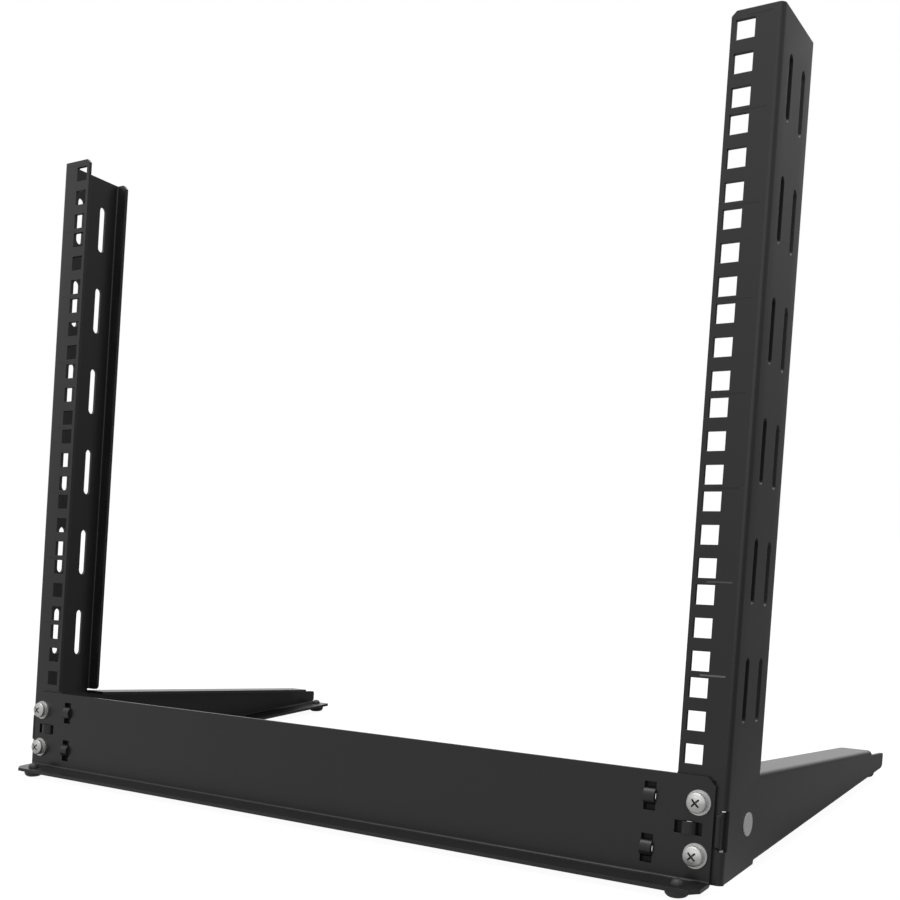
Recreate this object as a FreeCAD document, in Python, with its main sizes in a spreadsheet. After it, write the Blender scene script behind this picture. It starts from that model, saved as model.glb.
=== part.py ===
# Two post open frame rack, 8 units high: two folded steel sides that lean back a little,
# one folded panel across the front of the base, and four push-in rubber feet.
# Everything is in millimetres.  A side is drawn upright, with y = 0 at the front face of its
# post and z = 0 at the bottom of the lowest rack unit, and is then leaned back on its base.
import FreeCAD, Part
import Sketcher
import math
import os

os.makedirs("parts", exist_ok=True)
doc = FreeCAD.newDocument("TwoPostRack")

# The driving dimensions.  What lies across the rack is set in from half_width.
SIZES = {
    "half_width": 251.0,       # outside of a side to the middle of the rack
    "sheet": 2.0,              # steel sheet
    "bend_outer": 3.0,
    "lean_angle": 6.9,
    "base_height": 58.6,       # bottom of the lowest unit above the floor, at the post's face
    "front_offset": 136.9,     # face of the post ahead of the middle of the base
    "panel_clear": 3.7,        # underside of the panel's fold above the floor
    "sole_clear": 4.9,         # underside of the soles above the floor
    "post_clear": 4.6,         # bottom edge of the post above the floor
    "base_top": -3.4,          # top of the panel and of the legs
    "face_width": 25.6,        # front face of a post
    "post_depth": 47.2,
    "top_margin": 2.9,         # post above the highest unit
    "corner_cut": 2.4,         # chamfer on the top inner corners
    "unit_pitch": 44.45,
    "unit_gap": 12.7,          # between the holes on both sides of a unit's line
    "hole_side": 9.5,
    "hole_margin": 2.4,        # from the face's inner edge to the square holes
    "slot_length": 31.75,
    "slot_width": 6.35,
    "slot_front": 14.3,
    "slot_gap": 19.05,
    "slot_low": 38.1,          # lowest slot above the lowest unit's bottom
    "slot_high": 34.65,        # highest slot below the top of the post
    "rear_lip": 10.6,          # rear fold of the post
    "lip_gap": 1.0,            # slit between the rear lip and the ledge
    "lip_cut": 3.0,
    "leg_end": 300.5,
    "leg_round": 2.0,
    "ledge_short": 31.0,       # ledge ends this far before the leg
    "ledge_width": 20.0,       # fold along the top of the leg
    "fold_round": 3.0,         # free corners of the ledge and of the lip
    "sole_width": 20.5,        # fold along the bottom of the leg
    "sole_short": 0.7,
    "sole_round": 2.0,
    "step_inset": 4.2,         # the post's bottom edge steps up to the sole this far from its rear
    "step_run": 1.5,
    "wing_width": 48.0,        # the post's face widens behind the panel
    "wing_drop": 1.6,
    "wing_fillet": 3.0,
    "panel_inset": 5.4,
    "panel_corner": 4.2,
    "panel_lip": 16.8,         # reach of the panel's bottom fold ahead of the post's face
    "loop_height": 14.0,       # windows of the panel over the lanced loops
    "loop_width": 6.2,
    "loop_margin": 6.6,        # from the wing's edge to a window
    "loop_crest": 4.3,         # crest of a loop ahead of the post's face
    "loop_flat": 0.2,
    "strap_width": 6.0,
    "cross_inset": 17.7,
    "corner_loop": 19.5,       # lanced strap in the bend of the post
    "corner_gap": 0.75,        # between the strap and each end of its slit
    "corner_crest": 15.0,
    "corner_rise": 1.5,
    "corner_inset": 1.7,
    "corner_width": 2.5,
    "corner_depth": 4.9,
    "corner_round": 1.8,
    "corner_slit": 4.4,
    "screw_inset": 13.0,
    "screw_drop": 12.6,        # upper screw below the top of the panel
    "screw_pitch": 25.4,
    "screw_radius": 2.7,
    "screw_length": 10.0,
    "screw_slack": 0.2,
    "head_radius": 5.1,
    "head_height": 2.9,
    "washer_radius": 6.1,
    "washer_thick": 1.0,
    "nut_radius": 4.8,
    "nut_height": 4.5,
    "foot_radius": 6.0,
    "foot_bowl": 2.8,
    "foot_head": 3.3,
    "foot_dome": 2.9,
    "foot_stem": 2.4,
    "front_foot_inset": 17.7,
    "front_foot_margin": 6.4,  # behind the front edge of the fold
    "rear_foot_inset": 10.0,
    "rear_foot_margin": 4.9,   # ahead of the rear edge of the sole
    "disc_radius": 6.35,
    "disc_thick": 0.5,
    "disc_back": 31.0,
    "disc_low": -27.8,
}
UNITS = 8
SLOT_ROWS = 6
sheet = doc.addObject("Spreadsheet::Sheet", "Sizes")
for row, (alias, value) in enumerate(SIZES.items(), start=1):
    sheet.set("A%d" % row, alias)
    sheet.set("B%d" % row, str(value))
    sheet.setAlias("B%d" % row, alias)
doc.recompute()


class Size:
    """A number that remembers how it comes from the sheet, so that what it places stays bound to the sheet."""

    def __init__(self, text, number):
        self.text = text
        self.number = number

    def __add__(self, other):
        other = size(other)
        return Size("(%s + %s)" % (self.text, other.text), self.number + other.number)

    def __sub__(self, other):
        other = size(other)
        return Size("(%s - %s)" % (self.text, other.text), self.number - other.number)

    def __mul__(self, other):
        other = size(other)
        return Size("(%s * %s)" % (self.text, other.text), self.number * other.number)

    def __truediv__(self, other):
        other = size(other)
        return Size("(%s / %s)" % (self.text, other.text), self.number / other.number)

    def __neg__(self):
        return Size("(0 - %s)" % self.text, -self.number)

    def __radd__(self, other):
        return size(other) + self

    def __rsub__(self, other):
        return size(other) - self

    def __rmul__(self, other):
        return size(other) * self


def size(value):
    if isinstance(value, Size):
        return value
    return Size("(%s)" % value if value < 0 else str(value), float(value))


class Sheet:
    def __getattr__(self, alias):
        return Size("Sizes." + alias, SIZES[alias])


s = Sheet()
SIN = Size("sin(Sizes.lean_angle * 1deg)", math.sin(math.radians(SIZES["lean_angle"])))
COS = Size("cos(Sizes.lean_angle * 1deg)", math.cos(math.radians(SIZES["lean_angle"])))
THIN = s.sheet
ROUND = s.bend_outer
INSIDE = s.bend_outer - s.sheet


def floor_line(clear, back):
    # Height, in the upright drawing, of a line parallel to the floor, at a distance back.
    return (clear - s.base_height) / COS + size(back) * SIN / COS


def along_floor(clear, back):
    # Where that point of the line comes to lie along the floor, before the offset.
    return size(back) * COS + floor_line(clear, back) * SIN


# Places that more than one piece shares.
POST_TOP = UNITS * s.unit_pitch + s.top_margin
CLEAR_HALF = s.half_width - s.face_width
HOLE_COLUMN = CLEAR_HALF + s.hole_margin + s.hole_side / 2
WING_INNER = s.half_width - s.wing_width
LOOP_COLUMN = WING_INNER + s.loop_margin + s.loop_width / 2
CROSS_COLUMN = s.half_width - s.cross_inset
SCREW_COLUMN = s.half_width - s.screw_inset
SCREW_UPPER = s.base_top - s.screw_drop
LEVELS = (("upper", SCREW_UPPER), ("lower", SCREW_UPPER - s.screw_pitch))
CROSS = SCREW_UPPER - s.screw_pitch / 2
SOLE_BACK = along_floor(s.sole_clear, s.leg_end) - s.sole_short
FRONT_FOOT = (s.half_width - s.front_foot_inset,
              along_floor(s.panel_clear, -s.panel_lip) + s.front_foot_margin, s.panel_clear)
REAR_FOOT = (s.half_width - s.rear_foot_inset, SOLE_BACK - s.rear_foot_margin, s.sole_clear)


def plane(body, role):
    for feature in body.Origin.OriginFeatures:
        if feature.Role == role:
            return feature


def new_sketch(body, name, role, offset):
    sketch = body.newObject("Sketcher::SketchObject", name)
    sketch.AttachmentSupport = [(plane(body, role), "")]
    sketch.MapMode = "FlatFace"
    sketch.AttachmentOffset = FreeCAD.Placement(FreeCAD.Vector(0, 0, size(offset).number), FreeCAD.Rotation())
    sketch.setExpression("AttachmentOffset.Base.z", size(offset).text)
    return sketch


def drive(sketch, kind, value, *where):
    number = sketch.addConstraint(Sketcher.Constraint(kind, *where, size(value).number))
    sketch.setExpression("Constraints[%d]" % number, size(value).text)


def vector(point):
    return FreeCAD.Vector(size(point[0]).number, size(point[1]).number, 0)


def outline(sketch, corners):
    # Closed outline through the corners.  A third value rounds a square corner to that radius.
    count = len(corners)
    stops = []                  # each a point, and where an arc runs to the next one its centre and radius
    for i, corner in enumerate(corners):
        if len(corner) == 2:
            stops.append((corner, None))
            continue
        here, radius = corner[:2], corner[2]
        ends = []
        for other in (corners[i - 1], corners[(i + 1) % count]):
            run = vector(other) - vector(here)
            ends.append(tuple(size(here[k]) + radius * (0 if abs(run[k]) < 1e-6 else math.copysign(1, run[k]))
                              for k in (0, 1)))
        middle = tuple(size(ends[0][k]) + ends[1][k] - here[k] for k in (0, 1))
        stops.append((ends[0], (middle, radius)))
        stops.append((ends[1], None))
    first = sketch.GeometryCount
    count = len(stops)
    ends_of = []
    for i, (point, arc) in enumerate(stops):
        a, b = vector(point), vector(stops[(i + 1) % count][0])
        if arc is None:
            sketch.addGeometry(Part.LineSegment(a, b))
            ends_of.append((1, 2))
            continue
        centre = vector(arc[0])
        angles = [math.atan2(v.y - centre.y, v.x - centre.x) for v in (a, b)]
        forward = math.sin(angles[1] - angles[0]) > 0
        start, stop = angles if forward else angles[::-1]
        circle = Part.Circle(centre, FreeCAD.Vector(0, 0, 1), size(arc[1]).number)
        sketch.addGeometry(Part.ArcOfCircle(circle, start, stop))
        ends_of.append((1, 2) if forward else (2, 1))
    for i in range(count):
        after = (i + 1) % count
        sketch.addConstraint(Sketcher.Constraint("Coincident", first + i, ends_of[i][1],
                                                 first + after, ends_of[after][0]))
    for i, (point, arc) in enumerate(stops):
        drive(sketch, "DistanceX", point[0], -1, 1, first + i, ends_of[i][0])
        drive(sketch, "DistanceY", point[1], -1, 1, first + i, ends_of[i][0])
        if arc is not None:
            drive(sketch, "Radius", arc[1], first + i)


def box_outline(sketch, across, up, width, height):
    left, right = across - width / 2, across + width / 2
    low, high = up - height / 2, up + height / 2
    outline(sketch, [(left, low), (right, low), (right, high), (left, high)])


def circle_outline(sketch, across, up, radius):
    circle = Part.Circle(vector((across, up)), FreeCAD.Vector(0, 0, 1), size(radius).number)
    index = sketch.addGeometry(circle)
    drive(sketch, "DistanceX", across, -1, 1, index, 3)
    drive(sketch, "DistanceY", up, -1, 1, index, 3)
    drive(sketch, "Radius", radius, index)


def slot_outline(sketch, across, up, length, width):
    # Upright slot with round ends, centred on (across, up).
    half, reach = width / 2, (length - width) / 2
    arcs = []
    for side, begin in ((1, 0), (-1, math.pi)):
        circle = Part.Circle(vector((across, up + side * reach)), FreeCAD.Vector(0, 0, 1), half.number)
        arcs.append(sketch.addGeometry(Part.ArcOfCircle(circle, begin, begin + math.pi)))
    left = sketch.addGeometry(Part.LineSegment(vector((across - half, up + reach)), vector((across - half, up - reach))))
    right = sketch.addGeometry(Part.LineSegment(vector((across + half, up - reach)), vector((across + half, up + reach))))
    for a, b in ((arcs[0], left), (left, arcs[1]), (arcs[1], right), (right, arcs[0])):
        sketch.addConstraint(Sketcher.Constraint("Tangent", a, 2, b, 1))
    sketch.addConstraint(Sketcher.Constraint("Vertical", left))
    drive(sketch, "Radius", half, arcs[0])
    for arc, side in zip(arcs, (1, -1)):
        drive(sketch, "DistanceY", up + side * reach, -1, 1, arc, 3)
    drive(sketch, "DistanceX", across, -1, 1, arcs[0], 3)


def pad(body, name, sketch, length):
    feature = body.newObject("PartDesign::Pad", name)
    feature.Profile = sketch
    feature.setExpression("Length", size(length).text)
    doc.recompute()
    return feature


def pocket(body, name, sketch, length):
    # Cuts to both sides of the sketch, length in all.
    feature = body.newObject("PartDesign::Pocket", name)
    feature.Profile = sketch
    feature.Midplane = True
    feature.setExpression("Length", size(length).text)
    doc.recompute()
    return feature


def rows(body, name, feature, sketch, count, pitch):
    pattern = body.newObject("PartDesign::LinearPattern", name)
    pattern.Originals = [feature]
    pattern.Direction = (sketch, ["V_Axis"])
    pattern.Occurrences = count
    pattern.setExpression("Length", (size(count - 1) * pitch).text)
    body.Tip = pattern
    doc.recompute()
    return pattern


def lies_on(edge, x=None, y=None, z=None):
    # True for an edge whose ends both have the given coordinates.
    for vertex in edge.Vertexes:
        point = vertex.Point
        for value, at in ((x, point.x), (y, point.y), (z, point.z)):
            if value is not None and abs(size(value).number - at) > 0.02:
                return False
    return True


def dress(body, name, kind, feature, amount, wanted):
    # Fillet or chamfer on the wanted edges of a feature.
    edges = ["Edge%d" % number for number, edge in enumerate(feature.Shape.Edges, start=1) if wanted(edge)]
    dressed = body.newObject("PartDesign::" + kind, name)
    dressed.Base = (feature, edges)
    dressed.setExpression("Radius" if kind == "Fillet" else "Size", size(amount).text)
    doc.recompute()
    return dressed


def lean_back(feature):
    feature.Placement = FreeCAD.Placement(
        FreeCAD.Vector(0, -SIZES["front_offset"], SIZES["base_height"]),
        FreeCAD.Rotation(FreeCAD.Vector(1, 0, 0), -SIZES["lean_angle"]))
    feature.setExpression("Placement.Base.y", "0 - Sizes.front_offset")
    feature.setExpression("Placement.Base.z", "Sizes.base_height")
    feature.setExpression("Placement.Rotation.Angle", "0 - Sizes.lean_angle")


def bridge(centre):
    # Section of a lanced loop: a half round arch, rooted in the post's face on both sides of centre.
    outer, inner, root = s.loop_crest, s.loop_crest - THIN, THIN / 4
    return [
        (root, centre - outer),
        (-outer, centre - outer, outer - s.loop_flat / 2),
        (-outer, centre + outer, outer - s.loop_flat / 2),
        (root, centre + outer),
        (root, centre + inner),
        (-inner, centre + inner, inner - s.loop_flat / 2),
        (-inner, centre - inner, inner - s.loop_flat / 2),
        (root, centre - inner),
    ]


def side_frame(label, hand):
    # One folded sheet: post, rear lip, web, ledge along the top of the leg and sole under it.
    # hand is 1 for the side at +X and -1 for its mirror image.
    body = doc.addObject("PartDesign::Body", label)
    body.Label = label
    edge = hand * s.half_width
    inside = hand * (s.half_width - THIN)
    overlap = THIN / 4

    def slab(name, corners, inner, outer):
        # A profile seen from the side, extruded across from inner to outer.
        sketch = new_sketch(body, name + "_profile", "YZ_Plane", inner if hand > 0 else -outer)
        outline(sketch, corners)
        return pad(body, name, sketch, outer - inner)

    def angle(sketch, free, corner, tail):
        # Section of a right-angled bend: a flange from free to the corner, and a short tail
        # along the web.  free is its distance across from the outer face.
        side = math.copysign(1, size(tail).number - size(corner).number)
        outline(sketch, [
            (hand * (s.half_width - free), corner),
            (edge, corner, ROUND),
            (edge, tail),
            (inside, tail),
            (inside, corner + side * THIN, INSIDE),
            (hand * (s.half_width - free), corner + side * THIN),
        ])

    # Web of the post and of the leg, flat up to the start of each bend.
    leg_flat = s.base_top - ROUND
    post_flat = s.post_depth - ROUND
    step = s.post_depth - s.step_inset
    slab("web", [
        (ROUND, floor_line(s.post_clear, ROUND)),
        (step, floor_line(s.post_clear, step)),
        (step + s.step_run, floor_line(s.sole_clear + ROUND, step + s.step_run)),
        (s.leg_end, floor_line(s.sole_clear + ROUND, s.leg_end)),
        (s.leg_end, leg_flat, s.leg_round),
        (post_flat, leg_flat),
        (post_flat, POST_TOP),
        (ROUND, POST_TOP),
    ], s.half_width - THIN, s.half_width)

    # Front face of the post, wider behind the panel.
    low = floor_line(s.post_clear, 0)
    wing_top = s.base_top - s.wing_drop
    sketch = new_sketch(body, "face_outline", "XZ_Plane", -THIN)
    outline(sketch, [
        (hand * (s.half_width - ROUND), low),
        (hand * WING_INNER, low),
        (hand * WING_INNER, wing_top),
        (hand * CLEAR_HALF, wing_top, s.wing_fillet),
        (hand * CLEAR_HALF, POST_TOP - s.corner_cut),
        (hand * (CLEAR_HALF + s.corner_cut), POST_TOP),
        (hand * (s.half_width - ROUND), POST_TOP),
    ])
    pad(body, "face", sketch, THIN)
    sketch = new_sketch(body, "front_bend_section", "XY_Plane", low)
    angle(sketch, ROUND + overlap, size(0), ROUND + overlap)
    pad(body, "front_bend", sketch, POST_TOP - low)

    # Rear lip of the post.
    lip_bottom = s.base_top + s.lip_gap
    sketch = new_sketch(body, "lip_section", "XY_Plane", lip_bottom)
    angle(sketch, s.rear_lip, s.post_depth, post_flat - overlap)
    lip = pad(body, "lip", sketch, POST_TOP - lip_bottom)
    free = hand * (s.half_width - s.rear_lip)
    cut = dress(body, "lip_top", "Chamfer", lip, s.lip_cut, lambda line: lies_on(line, x=free, z=POST_TOP))
    dress(body, "lip_foot", "Fillet", cut, s.fold_round, lambda line: lies_on(line, x=free, z=lip_bottom))

    # Ledge folded in along the top of the leg.
    ledge_end = s.leg_end - s.ledge_short
    sketch = new_sketch(body, "ledge_section", "XZ_Plane", -ledge_end)
    angle(sketch, s.ledge_width, s.base_top, leg_flat - overlap)
    ledge = pad(body, "ledge", sketch, ledge_end - post_flat)
    ledge_free = hand * (s.half_width - s.ledge_width)
    dress(body, "ledge_corners", "Fillet", ledge, s.fold_round, lambda line:
          lies_on(line, x=ledge_free, y=ledge_end) or lies_on(line, x=ledge_free, y=post_flat))

    # Sole folded in along the bottom of the leg, square to the floor: the section's own
    # height is the height above the floor.
    sole_front = along_floor(s.sole_clear, step + s.step_run)
    sketch = new_sketch(body, "sole_section", "XZ_Plane", -(SOLE_BACK * COS + s.base_height * SIN))
    shift = SOLE_BACK * SIN - s.base_height * COS
    sketch.AttachmentOffset = FreeCAD.Placement(
        FreeCAD.Vector(0, shift.number, sketch.AttachmentOffset.Base.z),
        FreeCAD.Rotation(FreeCAD.Vector(1, 0, 0), SIZES["lean_angle"]))
    sketch.setExpression("AttachmentOffset.Base.y", shift.text)
    sketch.setExpression("AttachmentOffset.Rotation.Angle", "Sizes.lean_angle")
    angle(sketch, s.sole_width, s.sole_clear, s.sole_clear + ROUND + overlap)
    sole = pad(body, "sole", sketch, SOLE_BACK - sole_front)
    sole_free = hand * (s.half_width - s.sole_width)
    dress(body, "sole_corners", "Fillet", sole, s.sole_round, lambda line:
          lies_on(line, x=sole_free) and line.Length < 2 * SIZES["sheet"])

    # Square holes: three in each rack unit, eight units.
    hole_step = (s.unit_pitch - s.unit_gap) / 2
    sketch = new_sketch(body, "unit_holes", "XZ_Plane", -THIN / 2)
    for step_up in (0, 1, 2):
        box_outline(sketch, hand * HOLE_COLUMN, s.unit_gap / 2 + step_up * hole_step, s.hole_side, s.hole_side)
    unit = pocket(body, "unit_cut", sketch, 2 * THIN)
    rows(body, "rack_units", unit, sketch, UNITS, s.unit_pitch)

    # Round ended slots in the web: two columns of six.
    sketch = new_sketch(body, "web_slots", "YZ_Plane", hand * (s.half_width - THIN / 2))
    for column in (s.slot_front, s.slot_front + s.slot_gap):
        slot_outline(sketch, column, s.slot_low, s.slot_length, s.slot_width)
    cut = pocket(body, "slot_cut", sketch, 2 * THIN)
    rows(body, "slot_rows", cut, sketch, SLOT_ROWS, (POST_TOP - s.slot_low - s.slot_high) / (SLOT_ROWS - 1))

    # Holes under the three lanced loops, the two screw holes and the slit at the corner.
    under = 2 * (s.loop_crest - THIN)
    sketch = new_sketch(body, "face_holes", "XZ_Plane", -THIN / 2)
    for name, centre in LEVELS:
        box_outline(sketch, hand * LOOP_COLUMN, centre, s.loop_width, under)
        circle_outline(sketch, hand * SCREW_COLUMN, centre, s.screw_radius + s.screw_slack)
    box_outline(sketch, hand * CROSS_COLUMN, CROSS, under, s.loop_width)
    pocket(body, "face_hole_cut", sketch, 2 * THIN)
    sketch = new_sketch(body, "corner_slit_outline", "YZ_Plane", hand * s.half_width)
    box_outline(sketch, (s.corner_slit - THIN) / 2, CROSS, s.corner_slit + THIN, s.corner_loop)
    pocket(body, "corner_slit_cut", sketch, 2 * ROUND)

    # The loops, which stand forward of the face through the panel's windows.
    for name, centre in LEVELS:
        slab("loop_" + name, bridge(centre), LOOP_COLUMN - s.strap_width / 2, LOOP_COLUMN + s.strap_width / 2)
    sketch = new_sketch(body, "loop_cross_section", "XY_Plane", CROSS - s.strap_width / 2)
    outline(sketch, [(across, back, *rounding) for back, across, *rounding in bridge(hand * CROSS_COLUMN)])
    pad(body, "loop_cross", sketch, s.strap_width)

    # The strap in the bend, pressed forward and inward, a little shorter than its slit.
    crest, end, front = s.corner_crest / 2, s.corner_loop / 2 - s.corner_gap, -s.corner_rise
    outer = s.half_width - s.corner_inset
    strap = slab("strap_corner", [
        (front + s.corner_depth, CROSS - end),
        (overlap, CROSS - end),
        (front, CROSS - crest),
        (front, CROSS + crest),
        (overlap, CROSS + end),
        (front + s.corner_depth, CROSS + end),
    ], outer - s.corner_width, outer)
    dress(body, "strap_corner_edge", "Fillet", strap, s.corner_round, lambda line:
          lies_on(line, x=hand * outer, y=front))

    # Hole for the rear foot.
    across, back, clear = REAR_FOOT
    sketch = new_sketch(body, "foot_hole", "XY_Plane", floor_line(clear, back))
    circle_outline(sketch, hand * across, back * COS + (s.base_height - clear) * SIN, s.foot_stem)
    pocket(body, "foot_hole_cut", sketch, 4 * THIN)
    lean_back(body)
    return body


def front_panel():
    # Folded strip across the front of the base, screwed to the faces of both posts.
    body = doc.addObject("PartDesign::Body", "front_panel")
    body.Label = "front_panel"
    lip, half, corner = -s.panel_lip, s.half_width - s.panel_inset, s.panel_corner
    across, back, clear = FRONT_FOOT
    sketch = new_sketch(body, "section", "YZ_Plane", -half)
    outline(sketch, [
        (0, s.base_top),
        (-THIN, s.base_top),
        (-THIN, floor_line(clear + THIN, -THIN)),
        (lip, floor_line(clear + THIN, lip)),
        (lip, floor_line(clear, lip)),
        (0, floor_line(clear, 0)),
    ])
    strip = pad(body, "strip", sketch, 2 * half)
    bent = dress(body, "outer_bend", "Fillet", strip, ROUND, lambda line:
                 lies_on(line, y=0, z=floor_line(clear, 0)))
    dress(body, "inner_bend", "Fillet", bent, INSIDE, lambda line:
          lies_on(line, y=-THIN, z=floor_line(clear + THIN, -THIN)))
    # Cut corners at the top, windows over the loops, and the screw holes.
    beyond = THIN / 2
    sketch = new_sketch(body, "face_cut_outlines", "XZ_Plane", THIN / 2)
    for hand in (1, -1):
        outline(sketch, [
            (hand * (half - corner), s.base_top),
            (hand * (half - corner), s.base_top + beyond),
            (hand * (half + beyond), s.base_top + beyond),
            (hand * (half + beyond), s.base_top - corner),
            (hand * half, s.base_top - corner),
        ])
        for name, centre in LEVELS:
            box_outline(sketch, hand * LOOP_COLUMN, centre, s.loop_width, s.loop_height)
            circle_outline(sketch, hand * SCREW_COLUMN, centre, s.screw_radius + s.screw_slack)
        box_outline(sketch, hand * CROSS_COLUMN, CROSS, s.loop_height, s.loop_width)
    pocket(body, "face_cuts", sketch, 2 * THIN)
    # Cut front corners of the fold, and the holes for the feet.
    sketch = new_sketch(body, "fold_cut_outlines", "XY_Plane", floor_line(clear, lip))
    for hand in (1, -1):
        outline(sketch, [
            (hand * (half - corner), lip),
            (hand * (half - corner), lip - beyond),
            (hand * (half + beyond), lip - beyond),
            (hand * (half + beyond), lip + corner),
            (hand * half, lip + corner),
        ])
        circle_outline(sketch, hand * across, back * COS + (s.base_height - clear) * SIN, s.foot_stem)
    pocket(body, "fold_cuts", sketch, 4 * THIN)
    lean_back(body)
    return body


def turned(label, corners, place):
    # A turned piece: corners are (radius, height) around its own axis.
    body = doc.addObject("PartDesign::Body", label)
    body.Label = label
    sketch = new_sketch(body, label + "_outline", "XZ_Plane", 0)
    outline(sketch, corners)
    turn = body.newObject("PartDesign::Revolution", label + "_turn")
    turn.Profile = sketch
    turn.ReferenceAxis = (sketch, ["V_Axis"])
    turn.Angle = 360.0
    doc.recompute()
    place(body)
    return body


def move(item, across, back, up):
    for axis, value in (("x", across), ("y", back), ("z", up)):
        item.setExpression("Placement.Base." + axis, size(value).text)


def leaned(back, up):
    # Where a point of the upright drawing comes to rest: its distance back and its height.
    return back * COS + up * SIN - s.front_offset, up * COS - back * SIN + s.base_height


def facing_front(across, forward, up):
    # The piece's own axis points out of the leaning face.
    def place(body):
        body.Placement = FreeCAD.Placement(
            FreeCAD.Vector(), FreeCAD.Rotation(FreeCAD.Vector(1, 0, 0), 90 - SIZES["lean_angle"]))
        body.setExpression("Placement.Rotation.Angle", "90 - Sizes.lean_angle")
        move(body, across, *leaned(-forward, up))
    return place


def foot(label, across, back, under):
    # Push-in rubber foot: bowl under the fold, stem through its hole, and domed head above it.
    top = under + THIN
    stem = s.foot_stem - THIN / 20
    return turned(label, [
        (0, 0),
        (s.foot_radius, 0, s.foot_bowl),
        (s.foot_radius, under),
        (stem, under),
        (stem, top),
        (s.foot_head, top),
        (s.foot_head, top + s.foot_dome, s.foot_dome - THIN / 20),
        (0, top + s.foot_dome),
    ], lambda body: move(body, across, back - s.front_offset, 0))


def washer(label, across, up):
    bore = s.screw_radius + s.screw_slack
    return turned(label, [
        (bore, 0),
        (s.washer_radius, 0),
        (s.washer_radius, s.washer_thick),
        (bore, s.washer_thick),
    ], facing_front(across, THIN, up))


def screw(label, across, up):
    # Pan head on a plain shank.
    seat, head = s.washer_thick, s.head_radius
    return turned(label, [
        (0, -s.screw_length),
        (s.screw_radius, -s.screw_length),
        (s.screw_radius, seat),
        (head, seat),
        (head, seat + 0.4 * s.head_height),
        (0.82 * head, seat + 0.76 * s.head_height),
        (0.53 * head, seat + s.head_height),
        (0, seat + s.head_height),
    ], facing_front(across, THIN, up))


def clinch_nut(label, across, up):
    # Threaded ring pressed into the back of the post's face.
    return turned(label, [
        (s.screw_radius, -s.nut_height),
        (s.nut_radius, -s.nut_height),
        (s.nut_radius, 0),
        (s.screw_radius, 0),
    ], facing_front(across, -THIN, up))


pieces = [side_frame("side_frame_right", 1), side_frame("side_frame_left", -1), front_panel()]
for side, hand in (("right", 1), ("left", -1)):
    for end, (across, back, under) in (("front", FRONT_FOOT), ("rear", REAR_FOOT)):
        pieces.append(foot("foot_%s_%s" % (end, side), hand * across, back, under))
    for level, up in LEVELS:
        for kind, make in (("washer", washer), ("screw", screw), ("nut", clinch_nut)):
            pieces.append(make("%s_%s_%s" % (kind, side, level), hand * SCREW_COLUMN, up))

disc = doc.addObject("Part::Cylinder", "round_disc_right")
disc.Label = "round_disc_right"
disc.setExpression("Radius", "Sizes.disc_radius")
disc.setExpression("Height", "Sizes.disc_thick")
disc.Placement = FreeCAD.Placement(FreeCAD.Vector(), FreeCAD.Rotation(FreeCAD.Vector(0, 1, 0), 90))
move(disc, s.half_width, *leaned(s.disc_back, s.disc_low))
pieces.append(disc)
doc.recompute()

for item in doc.Objects:
    if "Invalid" in item.State or "Error" in item.State:
        raise RuntimeError("%s failed: %s" % (item.Label, item.State))
for piece in pieces:
    shape = piece.Shape
    if shape.isNull() or not shape.isValid() or not shape.Solids:
        raise RuntimeError(piece.Label + " has no valid solid")
    box = shape.BoundBox
    print(piece.Label, len(shape.Solids), round(shape.Volume), round(box.XMin, 1), round(box.XMax, 1),
          round(box.YMin, 1), round(box.YMax, 1), round(box.ZMin, 1), round(box.ZMax, 1))
    shape.exportStep("parts/%s.step" % piece.Label)
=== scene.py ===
import math

import bmesh
import bpy
from mathutils import Matrix, Vector


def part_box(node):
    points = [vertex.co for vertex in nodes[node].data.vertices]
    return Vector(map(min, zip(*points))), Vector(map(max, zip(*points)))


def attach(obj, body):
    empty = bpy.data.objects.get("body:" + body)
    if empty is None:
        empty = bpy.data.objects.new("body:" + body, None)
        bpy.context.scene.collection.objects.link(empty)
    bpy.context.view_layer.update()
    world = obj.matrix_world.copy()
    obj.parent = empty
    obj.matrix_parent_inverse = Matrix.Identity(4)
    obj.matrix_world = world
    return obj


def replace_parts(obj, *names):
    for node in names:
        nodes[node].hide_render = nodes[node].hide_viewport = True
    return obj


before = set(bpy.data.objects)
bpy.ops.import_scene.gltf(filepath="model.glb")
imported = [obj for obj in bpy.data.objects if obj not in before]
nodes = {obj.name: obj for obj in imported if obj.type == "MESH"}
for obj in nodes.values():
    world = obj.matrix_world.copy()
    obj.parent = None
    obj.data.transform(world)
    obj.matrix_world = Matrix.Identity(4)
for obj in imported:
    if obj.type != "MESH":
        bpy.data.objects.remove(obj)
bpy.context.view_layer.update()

# Camera.
# It stands where the photograph was taken from: 0.18 m above the floor, 0.8 m from the middle of the rack,
# in front of it and to its right, so that the upper sides of the legs show only at a grazing angle.
camera = bpy.data.objects.new("camera", bpy.data.cameras.new("camera"))
bpy.context.scene.collection.objects.link(camera)
camera.location = (0.44415, -0.66869, 0.18192)
camera.rotation_euler = [math.radians(turn) for turn in (82.7805, -0.1011, 32.704)]
camera.data.sensor_width = 36
camera.data.lens = 47.9929
camera.data.shift_x, camera.data.shift_y = -0.01558, 0.23173
bpy.context.scene.camera = camera


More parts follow.
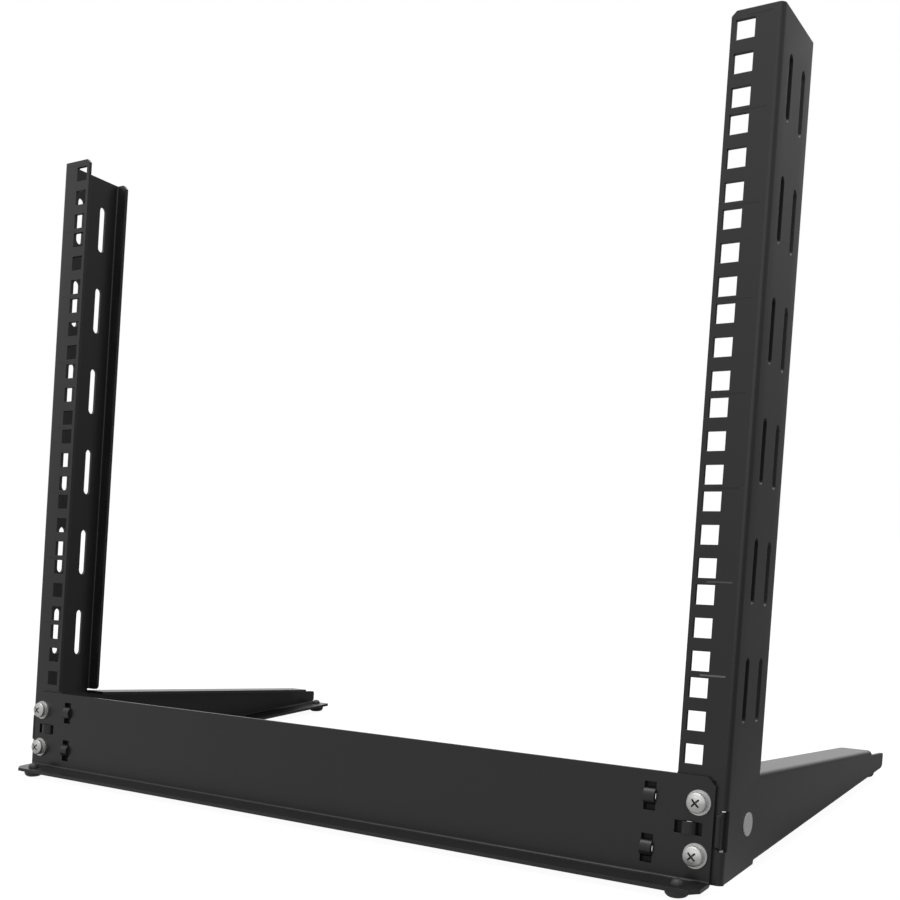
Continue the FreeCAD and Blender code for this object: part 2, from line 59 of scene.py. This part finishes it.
# Side frames: 2 mm steel sheet, punched, folded and powder coated.
# Each is one sheet: a post with a front face, a web and a rear lip, and a tapered leg with ledge and sole.
# The coat is satin charcoal with a fine orange peel, and short lines beside the holes mark the rack's units.
# The lines' tones are painted shade and a painted glint, and painted shade darkens the face behind the
# panel's windows.
class Wire:
    """One socket of a material, so that what changes over a surface is written as plain arithmetic."""

    # The colour sockets of a Mix node go by number, because they share their names with its number sockets.
    mix_share, mix_low, mix_high, mix_result = 0, 6, 7, 2

    def __init__(self, tree, socket=None):
        self.tree, self.socket = tree, socket

    def node(self, kind, settings, sockets, output=0):
        """One output of a new node of this kind, which gets its settings, then its values and links."""
        made = self.tree.nodes.new(kind)
        for name, value in settings.items():
            setattr(made, name, value)
        for name, value in sockets.items():
            if isinstance(value, Wire):
                self.tree.links.new(value.socket, made.inputs[name])
            else:
                made.inputs[name].default_value = value
        return Wire(self.tree, made.outputs[output] if made.outputs else None)

    def math(self, operation, *values):
        return self.node("ShaderNodeMath", {"operation": operation}, dict(enumerate(values)))

    def __add__(self, other):
        return self.math("ADD", self, other)

    def __sub__(self, other):
        return self.math("SUBTRACT", self, other)

    def __rsub__(self, other):
        return self.math("SUBTRACT", other, self)

    def __mul__(self, other):
        return self.math("MULTIPLY", self, other)

    def __truediv__(self, other):
        return self.math("DIVIDE", self, other)

    def __lt__(self, other):
        return self.math("LESS_THAN", self, other)

    def __gt__(self, other):
        return self.math("GREATER_THAN", self, other)

    def __abs__(self):
        return self.math("ABSOLUTE", self)

    __radd__, __rmul__ = __add__, __mul__

    def fraction(self):
        return self.math("FRACT", self)

    def larger(self, other):
        return self.math("MAXIMUM", self, other)

    def axis(self, name):
        return self.node("ShaderNodeSeparateXYZ", {}, {"Vector": self}, name)

    def noise(self, scale, detail=2.0, rough=0.5):
        sockets = {"Vector": self, "Scale": scale, "Detail": detail, "Roughness": rough}
        return self.node("ShaderNodeTexNoise", {}, sockets)

    def bump(self, strength, distance, **sockets):
        """This height as a normal, with the bump's distance in metres."""
        sockets.update({"Strength": strength, "Distance": distance, "Height": self})
        return self.node("ShaderNodeBump", {}, sockets)

    def colours(self, low, high):
        """This mask as a colour, from low at 0 to high at 1."""
        low, high = (end if isinstance(end, Wire) else (*end, 1) for end in (low, high))
        sockets = {self.mix_share: self, self.mix_low: low, self.mix_high: high}
        return self.node("ShaderNodeMix", {"data_type": "RGBA"}, sockets, self.mix_result)

    def shaders(self, low, high):
        """This mask as a shader, from low at 0 to high at 1."""
        return self.node("ShaderNodeMixShader", {}, {0: self, 1: low, 2: high})

    def to_output(self, kind="ShaderNodeOutputMaterial"):
        """Makes this shader the surface of its material, or of its world."""
        self.node(kind, {}, {"Surface": self})


def bare_material(name):
    """A material with nothing in it yet, and its surface coordinates in metres."""
    material = bpy.data.materials.new(name)
    material.use_nodes = True
    material.node_tree.nodes.clear()
    return material, Wire(material.node_tree).node("ShaderNodeTexCoord", {}, {}, "Object")


# The frame of the leaning posts: x across, y back from their front face, and z up along them from the foot
# of the lowest unit.
lean = math.radians(6.9)
face_forward, face_foot = 0.1369, 0.0586
unit = 0.04445
upright = Matrix.Translation((0, -face_forward, face_foot)) @ Matrix.Rotation(-lean, 4, "X")
to_upright = upright.inverted()

# The lines and the painted shade in that frame: across from the middle of the rack, and up from its lowest
# unit.
face_skin = 0.0004
mark_start, mark_end, mark_half, mark_drop = 0.2329, 0.2457, 0.0004, 0.0002
mark_lowest = 0.02
# Painted glint on the right post's lowest lines, fading upwards; the other lines get painted shade.
glint_full, glint_gone, glint_least = 0.0445, 0.124, 0.01
groove_shade_colour, painted_glint_colour = (0.003, 0.003, 0.003), (0.19, 0.19, 0.19)
# Painted shade: the post's face behind the panel's windows is mixed towards a near-black matt surface.
shade_top, shade_side, shade_share = -0.005, 0.245, 0.62
painted_shade_colour = (0.004, 0.004, 0.004)


def post_marks(place, colour):
    """The colour with a short line at each unit, and a mask of painted shade on the face behind the panel's
    windows.

    The lines are dark, as painted shade of the scribed marks, but on the right post the lowest ones are
    bright, a painted glint that fades upwards.
    """
    forward, above = place.axis("Y") + face_forward, place.axis("Z") - face_foot
    up = forward * math.sin(lean) + above * math.cos(lean)
    back = forward * math.cos(lean) - above * math.sin(lean)
    across = abs(place.axis("X"))
    on_face = abs(back) < face_skin
    counted = (up + mark_drop) / unit + 0.5
    from_line = abs(counted.fraction() - 0.5)
    line = (from_line < mark_half / unit) * (across > mark_start) * (across < mark_end)
    line = line * on_face * (up > mark_lowest)
    # Painted glint: bright lines low on the right post; painted shade: the other lines dark.
    fading = {"Value": up, "From Min": glint_gone, "From Max": glint_full}
    bright = place.node("ShaderNodeMapRange", {}, fading) * (place.axis("X") > 0)
    colour = (line * (bright < glint_least)).colours(colour, groove_shade_colour)
    colour = (line * bright).colours(colour, painted_glint_colour)
    return colour, on_face * (up < shade_top) * (across < shade_side) * shade_share


charcoal_low, charcoal_high = (0.0135, 0.0135, 0.0137), (0.0165, 0.0165, 0.0167)
coat_rough, coat_rough_change, peel_share = 0.3, 0.04, 0.7


def powder_coat(name, edge_radius, marked):
    """Charcoal powder coat with an orange peel, a slow drift of tone and edges that the coat rounds; marked,
    it also gets the unit lines and painted shade.
    """
    material, place = bare_material(name)
    peel = place.noise(scale=900, rough=0.55)
    drift = place.noise(scale=55, detail=3.0, rough=0.6)
    colour = drift.colours(charcoal_low, charcoal_high)
    if marked:
        colour, shaded = post_marks(place, colour)
    rounded = place.node("ShaderNodeBevel", {"samples": 4}, {"Radius": edge_radius})
    height = peel * peel_share + drift * (1 - peel_share)
    surface = place.node("ShaderNodeBsdfPrincipled", {}, {
        "Base Color": colour,
        "Roughness": (drift + peel) * coat_rough_change + coat_rough,
        "Normal": height.bump(strength=0.25, distance=0.00006, Normal=rounded),
    })
    if marked:
        # Painted shade: near-black matt mixed in where the face lies behind the panel's windows.
        shade = place.node("ShaderNodeBsdfDiffuse", {}, {"Color": (*painted_shade_colour, 1)})
        surface = shaded.shaders(surface, shade)
    surface.to_output()
    return material


def merged_copy(node):
    """A copy of a CAD node's mesh, with its loose triangles joined."""
    form = bmesh.new()
    form.from_mesh(node.data)
    bmesh.ops.remove_doubles(form, verts=form.verts, dist=0.000001)
    return form


def made_object(name, form):
    """The bmesh as an object of the scene."""
    mesh = bpy.data.meshes.new(name)
    form.to_mesh(mesh)
    form.free()
    made = bpy.data.objects.new(name, mesh)
    bpy.context.scene.collection.objects.link(made)
    return made


sharp_from = math.radians(40)


def finished_piece(name, form, material):
    """The bmesh as a piece of its own at the origin, smooth but for its sharp edges, riding on the rack."""
    for face in form.faces:
        face.smooth = True
    for edge in form.edges:
        edge.smooth = len(edge.link_faces) == 2 and edge.calc_face_angle(0) < sharp_from
    piece = made_object(name, form)
    piece.data.materials.append(material)
    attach(piece, "root")
    return piece


# The slots of the solids are 6.35 mm wide, and here 5.3 mm, because the photograph's are narrower. The back
# of the strap that is lanced out at each front corner lies 0.9 mm deeper, so that no light shows behind it.
web_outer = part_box("side_frame_right")[1].x
web_inner = web_outer - 0.002
slot_columns, slot_lowest, slot_pitch, slot_rows = (0.0143, 0.03335), 0.0381, 0.05715, 6
slot_reach, slot_half, slot_half_seen = 0.0127, 0.003175, 0.00265
strap_inner, strap_outer, strap_middle, strap_half = 0.2468, 0.2493, -0.0287, 0.009
strap_back, strap_back_seen = 0.0034, 0.0043
tolerance = 0.00003


def as_seen(across, back, up):
    """Where a point of the side frame lies once its slots are narrowed and its strap's back set deeper."""
    row = round((up - slot_lowest) / slot_pitch)
    if 0 <= row < slot_rows and web_inner - tolerance < abs(across) < web_outer + tolerance:
        beyond = max(abs(up - slot_lowest - row * slot_pitch) - slot_reach, 0)
        for column in slot_columns:
            if abs(math.hypot(back - column, beyond) - slot_half) < tolerance:
                return Vector((across, column + (back - column) * slot_half_seen / slot_half, up))
    on_strap = strap_inner - tolerance < abs(across) < strap_outer + tolerance
    on_strap = on_strap and abs(up - strap_middle) < strap_half + tolerance
    if on_strap and abs(back - strap_back) < tolerance:
        return Vector((across, strap_back_seen, up))
    return Vector((across, back, up))


frame_coat = powder_coat("charcoal_powder_coat_marked", edge_radius=0.0004, marked=True)
for side in ("left", "right"):
    form = merged_copy(nodes["side_frame_" + side])
    for point in form.verts:
        point.co = upright @ as_seen(*(to_upright @ point.co))
    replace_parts(finished_piece("folded_side_" + side, form, frame_coat), "side_frame_" + side)


# Front panel: one sheet of the same steel, its lower edge folded forward, in the same coat without lines.
# Windows are punched in its ends, where loops of the side frames stand out, and two screws hold each end.
def dress(node, material):
    """Gives a CAD node its finish."""
    node.data.materials.clear()
    node.data.materials.append(material)


panel_coat = powder_coat("charcoal_powder_coat", edge_radius=0.0001, marked=False)
dress(nodes["front_panel"], panel_coat)

# Screws, washers and nuts: zinc plated steel.
# Four domed screws with a cross recess hold the panel's ends, on flat washers and in nuts clinched behind.
# The heads are cold formed, and the driver's cross is punched deep; its faces are painted darker, as painted
# shade in the recess.
zinc_low, zinc_high, zinc_recess_shade = (0.56, 0.56, 0.555), (0.66, 0.66, 0.655), (0.24, 0.24, 0.24)
zinc_rough, cloud_rough, grain_rough, recess_rough = 0.42, 0.06, 0.04, 0.3


def zinc_plate(name, punched):
    """Zinc with cloudy patches and a fine grain, rougher where a driver's recess is punched and darker there
    with painted shade.
    """
    material, place = bare_material(name)
    grain = place.noise(scale=700, detail=3.0, rough=0.6)
    cloud = place.noise(scale=180)
    colour = cloud.colours(zinc_low, zinc_high)
    rough = cloud * cloud_rough + grain * grain_rough + zinc_rough
    if punched:
        recess = place.node("ShaderNodeAttribute", {"attribute_name": "recess"}, {}, "Fac")
        # Painted shade: the recess faces are darker.
        colour = recess.colours(colour, zinc_recess_shade)
        rough = rough + recess * recess_rough
    bump = grain.bump(strength=0.05, distance=0.00002)
    sockets = {"Base Color": colour, "Metallic": 1.0, "Roughness": rough, "Normal": bump}
    place.node("ShaderNodeBsdfPrincipled", {}, sockets).to_output()
    return material


# The head is higher and slimmer than the solid's, as the photograph shows it.
head_radius, head_side, head_height = 0.00493, 0.0026, 0.0045
shank_radius, shank_length = 0.0027, 0.0092
tip_across, tip_along, seat_across, seat_along = 0.0004, 0.0005, 0.0002, 0.0003
edge_round, edge_drop, edge_turn, edge_steps = 0.0008, 0.00064, math.radians(55), 3
crown_radius, crown_foot, crown_steps = head_radius - edge_round, head_side + edge_drop, 8
crown_rise = head_height - crown_foot


def screw_body():
    """Shank, head and crown in one turned profile, its axis along -Y with the head's seat at the origin."""
    profile = [
        (0, shank_length), (shank_radius - tip_across, shank_length),
        (shank_radius, shank_length - tip_along),
        (shank_radius, 0), (head_radius - seat_across, 0), (head_radius, -seat_along),
        (head_radius, -head_side),
    ]
    for step in range(1, edge_steps + 1):
        turn = edge_turn * step / edge_steps
        out, drop = edge_round * math.cos(turn), edge_round * math.sin(turn)
        profile.append((crown_radius + out, -head_side - drop))
    for step in range(crown_steps - 1, 0, -1):
        share = step / crown_steps
        profile.append((crown_radius * share, -crown_foot - crown_rise * (1 - share * share)))
    profile.append((0, -head_height))
    form = bmesh.new()
    points = [form.verts.new((across, back, 0)) for across, back in profile]
    for a, b in zip(points, points[1:]):
        form.edges.new((a, b))
    bmesh.ops.spin(
        form, geom=form.verts[:] + form.edges[:], cent=(0, 0, 0), axis=(0, 1, 0), angle=math.tau, steps=48,
        use_merge=True,
    )
    bmesh.ops.remove_doubles(form, verts=form.verts, dist=0.000002)
    bmesh.ops.recalc_face_normals(form, faces=form.faces)
    return form


recess_span, recess_width, recess_depth, recess_proud = 0.0063, 0.00105, 0.0022, 0.0006
bottom_span, bottom_width = recess_span * 0.55, recess_width * 0.7


def recess_body():
    """The cross that the driver fits: two wings, tapered to the bottom, set at 45 degrees."""
    form = bmesh.new()
    for turn in (45, 135):
        wing = bmesh.ops.create_cube(form, size=1)["verts"]
        for point in wing:
            deep = point.co.y > 0
            point.co.x *= bottom_span if deep else recess_span
            point.co.z *= bottom_width if deep else recess_width
            point.co.y = -head_height + (recess_depth if deep else -recess_proud)
        around = Matrix.Rotation(math.radians(turn), 3, "Y")
        bmesh.ops.rotate(form, verts=wing, cent=(0, 0, 0), matrix=around)
    return form


recess_reach, below_crown = recess_span * 0.52, 0.0001


def punched_screw():
    """The screw with its recess cut, whose faces the attribute recess marks for the material."""
    blank, punch = made_object("screw_blank", screw_body()), made_object("recess_punch", recess_body())
    cut = blank.modifiers.new("recess", "BOOLEAN")
    cut.operation, cut.solver, cut.object, cut.use_self = "DIFFERENCE", "EXACT", punch, True
    bpy.context.view_layer.update()
    form = bmesh.new()
    form.from_object(blank, bpy.context.evaluated_depsgraph_get())
    bpy.data.objects.remove(blank)
    bpy.data.objects.remove(punch)
    bmesh.ops.dissolve_degenerate(form, edges=form.edges, dist=0.000003)
    in_recess = form.faces.layers.float.new("recess")
    for face in form.faces:
        middle = face.calc_center_median()
        out = math.hypot(middle.x, middle.z)
        crown = head_height - (head_height - head_side) * (out / head_radius) ** 2
        face[in_recess] = float(out < recess_reach and 0 < -middle.y < crown - below_crown)
    return form


def washer_seat(washer):
    """The posts' frame moved to the middle of a washer's front, where its screw's head sits."""
    points = [to_upright @ point.co for point in washer.data.vertices]
    low, high = (Vector([end(values) for values in zip(*points)]) for end in (min, max))
    return upright @ Matrix.Translation(((low.x + high.x) / 2, low.y, (low.z + high.z) / 2))


# Each screw lies towards the middle of the rack, in the slack of its hole.
slack = 0.0002
screw_zinc, ring_zinc = zinc_plate("zinc_plated_screw", True), zinc_plate("zinc_plated_ring", False)
screw = punched_screw()
for side, inwards in (("left", slack), ("right", -slack)):
    for level in ("upper", "lower"):
        form = screw.copy()
        form.transform(washer_seat(nodes[f"washer_{side}_{level}"]) @ Matrix.Translation((inwards, 0, 0)))
        piece = finished_piece(f"cross_screw_{side}_{level}", form, screw_zinc)
        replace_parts(piece, f"screw_{side}_{level}")
        for kind in ("washer", "nut"):
            dress(nodes[f"{kind}_{side}_{level}"], ring_zinc)
screw.free()

# Feet: black rubber, moulded.
# Each is pushed through a hole of the fold or the sole: a pad below, a neck, and a rounded button above.
rubber_low, rubber_high = (0.032, 0.032, 0.032), (0.042, 0.042, 0.042)
rubber_rough, mould_rough = 0.45, 0.1
rubber, place = bare_material("black_rubber")
mould = place.noise(scale=1300)
place.node("ShaderNodeBsdfPrincipled", {}, {
    "Base Color": place.noise(scale=250).colours(rubber_low, rubber_high),
    "Roughness": mould * mould_rough + rubber_rough,
    "Normal": mould.bump(strength=0.25, distance=0.00005),
}).to_output()
for name in ("foot_front_left", "foot_front_right", "foot_rear_left", "foot_rear_right"):
    dress(nodes[name], rubber)

# Round disc: a thin disc of light grey plastic, stuck on the outer side of the right frame.
# It is bare and matt. Here it is 7 % smaller than its solid, which is the size that the photograph shows.
disc_seen = 0.93
grey_low, grey_high = (0.66, 0.66, 0.665), (0.74, 0.74, 0.745)
grey_rough, fine_rough = 0.4, 0.1
disc_grey, place = bare_material("matt_grey_disc")
fine = place.noise(scale=1500)
place.node("ShaderNodeBsdfPrincipled", {}, {
    "Base Color": place.noise(scale=300).colours(grey_low, grey_high),
    "Roughness": fine * fine_rough + grey_rough,
    "Normal": fine.bump(strength=0.15, distance=0.00004),
}).to_output()
form = merged_copy(nodes["round_disc_right"])
middle = sum((point.co for point in form.verts), Vector()) / len(form.verts)
for point in form.verts:
    point.co.yz = middle.yz + (point.co.yz - middle.yz) * disc_seen
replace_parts(finished_piece("grey_disc_right", form, disc_grey), "round_disc_right")


# Floor, light and white surround.
# Both are white to the camera, and reflections see a soft studio: bright above and at the back, and dim to
# the right, where a dark flag stands. A large soft lamp hangs overhead, and a weak one fills from the front.
def looked_at(start):
    """1 where the camera looks, also through glass, and 1 where a reflection looks."""
    rays = ("Is Camera Ray", "Is Transmission Ray", "Is Glossy Ray")
    straight, through_glass, reflected = (start.node("ShaderNodeLightPath", {}, {}, ray) for ray in rays)
    return straight.larger(through_glass), reflected


def step_up(value, low, high):
    """0 below low, 1 above high, and a soft slope between them."""
    sockets = {"Value": value, "From Min": low, "From Max": high}
    return value.node("ShaderNodeMapRange", {"interpolation_type": "SMOOTHSTEP"}, sockets)


def band(value, rise, fall):
    """1 from the end of the rise to the start of the fall, and 0 beyond them."""
    return step_up(value, *rise) * (1 - step_up(value, *fall))


# What reflections see of the floor: a plain level, less of it behind the posts or to the right, and a narrow
# brighter strip beside the right frame.
floor_level = 0.54
less_behind, behind_rise, behind_fall = 0.44, (-0.25, 0.0), (0.7, 1.4)
less_right, right_rise = 0.37, (0.1, 0.4)
strip_level, strip_rise, strip_fall = 0.045, (0.26, 0.28), (0.3, 0.36)
# What the camera sees of it: white, a little stronger where the lamps' light fades, by the squared distance
# from the middle of the rack.
seen_near, seen_more, seen_rise = 0.95, 0.07, (0.6, 4.0)
seen_colour, bounce_colour = (0.16, 0.16, 0.16, 1), (0.4, 0.4, 0.4, 1)

form = bmesh.new()
bmesh.ops.create_grid(form, x_segments=1, y_segments=1, size=6)
floor = made_object("floor", form)
floor_white, place = bare_material("white_floor")
floor.data.materials.append(floor_white)
seen, glossy = looked_at(place)
across, back = place.axis("X"), place.axis("Y")
less = (band(back, behind_rise, behind_fall) * less_behind).larger(step_up(across, *right_rise) * less_right)
reflected = floor_level - less + band(across, strip_rise, strip_fall) * strip_level
white = seen_near + step_up(across * across + back * back, *seen_rise) * seen_more
strength = seen * white + (1 - seen) * glossy * reflected
lit = place.node("ShaderNodeBsdfDiffuse", {}, {"Color": seen_colour})
bounce = place.node("ShaderNodeBsdfDiffuse", {}, {"Color": bounce_colour})
body = seen.larger(glossy).shaders(bounce, lit)
glow = place.node("ShaderNodeEmission", {}, {"Color": (1, 1, 1, 1), "Strength": strength})
place.node("ShaderNodeAddShader", {}, {0: body, 1: glow}).to_output()

# What reflections see of the surround, by direction: walls that brighten upwards, the flag to the right, a
# bright back wall to its left, and a weak glow above the flag. Its other light has one plain level.
wall_level, wall_more, wall_rise = 0.55, 0.4, (0.0, 0.6)
flag_depth, flag_rise, flag_back, flag_fall = 0.75, (0.05, 0.3), 0.35, (0.45, 0.8)
back_level, back_rise, back_end = 0.6, (0.3, 0.8), (-0.1, 0.2)
above_level, above_rise = 0.17, (0.02, 0.4)
plain_level = 0.25

world = bpy.data.worlds.new("white_surround")
bpy.context.scene.world = world
world.use_nodes = True
world.node_tree.nodes.clear()
toward = Wire(world.node_tree).node("ShaderNodeTexCoord", {}, {}, "Generated")
seen, glossy = looked_at(toward)
right, back, above = (toward.axis(name) for name in "XYZ")
walls = wall_level + step_up(above, *wall_rise) * wall_more
flag = 1 - (step_up(right, *flag_rise) - step_up(right, *flag_fall) * flag_back) * flag_depth
back_wall = step_up(back, *back_rise) * (1 - step_up(right, *back_end)) * back_level
over_flag = step_up(right, *flag_rise) * step_up(above, *above_rise) * above_level
reflected = walls * flag + back_wall + over_flag
strength = seen + (1 - seen) * (glossy * reflected + (1 - glossy) * plain_level)
sky = toward.node("ShaderNodeBackground", {}, {"Color": (1, 1, 1, 1), "Strength": strength})
sky.to_output("ShaderNodeOutputWorld")

lamp_aim = Vector((0, 0, 0.15))
for name, location, size, power in (
    ("top_lamp", Vector((-0.1, -0.1, 2.2)), 2.0, 34),
    ("front_lamp", Vector((1.0, -1.8, 0.9)), 1.5, 6),
):
    lamp = bpy.data.objects.new(name, bpy.data.lights.new(name, "AREA"))
    bpy.context.scene.collection.objects.link(lamp)
    lamp.location = location
    lamp.rotation_euler = (lamp_aim - location).to_track_quat("-Z", "Y").to_euler()
    lamp.data.size, lamp.data.energy = size, power

bpy.context.scene.view_settings.view_transform = "Standard"
